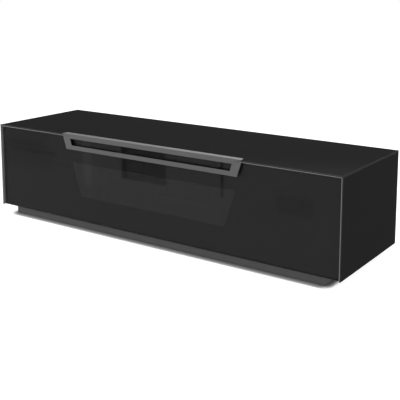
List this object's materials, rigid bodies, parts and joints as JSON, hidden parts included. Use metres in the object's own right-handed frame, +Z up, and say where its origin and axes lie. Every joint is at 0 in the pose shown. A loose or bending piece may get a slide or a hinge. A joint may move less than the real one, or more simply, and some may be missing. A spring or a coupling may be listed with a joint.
{
  "type": "media cabinet",
  "caption": "Low wide media cabinet clad in black glass on a recessed plinth, with one drop-front glass flap, a slotted metal handle plate, shelves and cable outlets inside.",
  "frame": {"origin": "on the floor, at the middle of the cabinet in width and depth", "axes": "+X to the right seen from the front, +Y to the back, +Z up"},
  "size_m": [1.65, 0.5, 0.405],
  "materials": {
    "black_glass": "gloss, back-painted black",
    "smoked_glass": "gloss, smoked",
    "shelf_glass": "gloss, grey tint",
    "smoked_film": "smooth, see-through grey",
    "black_backing": "smooth black",
    "black_sealant": "matt",
    "satin_aluminium": "fine satin",
    "handle_aluminium": "brushed along its length, anodised grey",
    "dark_anodised": "matt black anodised",
    "black_board": "fine matt laminate",
    "graphite_lacquer": "satin metallic lacquer",
    "zinc_casting": "cast zinc",
    "bright_steel": "zinc plated",
    "black_steel": "black oxide",
    "dark_steel": "nickel",
    "black_plastic": "fine texture",
    "glide_felt": "hard, smooth",
    "clear_rubber": "clear, soft"
  },
  "bodies": {
    "cabinet": {"back_panel_centre": "black_board", "back_panel_left": "black_board", "back_panel_right": "black_board", "back_screws": "black_steel", "bottom_board": "black_board", "cable_grommet_centre": "black_plastic", "cable_grommet_left": "black_plastic", "cable_grommet_right": "black_plastic", "cam_fittings": "zinc_casting", "catch_body_left": "black_plastic", "catch_body_right": "black_plastic", "catch_magnets": "dark_steel", "damper_screws": "bright_steel", "door_bumpers": "clear_rubber", "floor_glides": "glide_felt", "front_trim_left": "satin_aluminium", "front_trim_right": "satin_aluminium", "front_trim_top": "satin_aluminium", "hinge_brackets": "bright_steel", "hinge_screws": "bright_steel", "partition_left": "black_board", "partition_right": "black_board", "plinth_back": "graphite_lacquer", "plinth_brace_left": "graphite_lacquer", "plinth_brace_right": "graphite_lacquer", "plinth_front": "graphite_lacquer", "plinth_side_left": "graphite_lacquer", "plinth_side_right": "graphite_lacquer", "seam_strip_left": "black_sealant", "seam_strip_right": "black_sealant", "shelf_centre": "shelf_glass", "shelf_left": "shelf_glass", "shelf_pins": "bright_steel", "shelf_right": "shelf_glass", "side_board_left": "black_board", "side_board_right": "black_board", "side_glass_left": "black_glass", "side_glass_right": "black_glass", "stay_damper_left": "black_plastic", "stay_damper_right": "black_plastic", "top_board": "black_board", "top_glass": "black_glass"},
    "flap": {"door_bottom_rail": "dark_anodised", "door_glass": "smoked_glass", "door_mask": "black_backing", "door_stile_left": "dark_anodised", "door_stile_right": "dark_anodised", "door_top_rail": "dark_anodised", "handle": "handle_aluminium", "handle_screws": "bright_steel", "handle_spacers": "satin_aluminium", "hinge_pins": "bright_steel", "stay_bracket_left": "bright_steel", "stay_bracket_right": "bright_steel", "strike_plates": "bright_steel", "window_film": "smoked_film"},
    "stay_crank_left": {"stay_crank_left": "bright_steel"},
    "stay_crank_right": {"stay_crank_right": "bright_steel"},
    "stay_link_left": {"stay_link_left": "bright_steel"},
    "stay_link_right": {"stay_link_right": "bright_steel"}
  },
  "joints": [
    {"name": "flap_hinge", "type": "hinge", "parent": "cabinet", "child": "flap", "pos_m": [0, -0.2275, 0.0415], "axis": [1, 0, 0], "range_deg": [0, 90]},
    {"name": "stay_left_crank_pivot", "type": "hinge", "parent": "cabinet", "child": "stay_crank_left", "pos_m": [-0.792, -0.1075, 0.0715], "axis": [1, 0, 0], "range_deg": [0, 90]},
    {"name": "stay_left_link_pivot", "type": "hinge", "parent": "stay_crank_left", "child": "stay_link_left", "pos_m": [-0.787, -0.0935, 0.1615], "axis": [1, 0, 0], "range_deg": [-90, 0]},
    {"name": "stay_right_crank_pivot", "type": "hinge", "parent": "cabinet", "child": "stay_crank_right", "pos_m": [0.792, -0.1075, 0.0715], "axis": [1, 0, 0], "range_deg": [0, 90]},
    {"name": "stay_right_link_pivot", "type": "hinge", "parent": "stay_crank_right", "child": "stay_link_right", "pos_m": [0.787, -0.0935, 0.1615], "axis": [1, 0, 0], "range_deg": [-90, 0]}
  ],
  "couplings": [
    {"joint": "stay_left_crank_pivot", "follows": "flap_hinge", "ratio": 1},
    {"joint": "stay_left_link_pivot", "follows": "flap_hinge", "ratio": -1},
    {"joint": "stay_right_crank_pivot", "follows": "flap_hinge", "ratio": 1},
    {"joint": "stay_right_link_pivot", "follows": "flap_hinge", "ratio": -1}
  ]
}
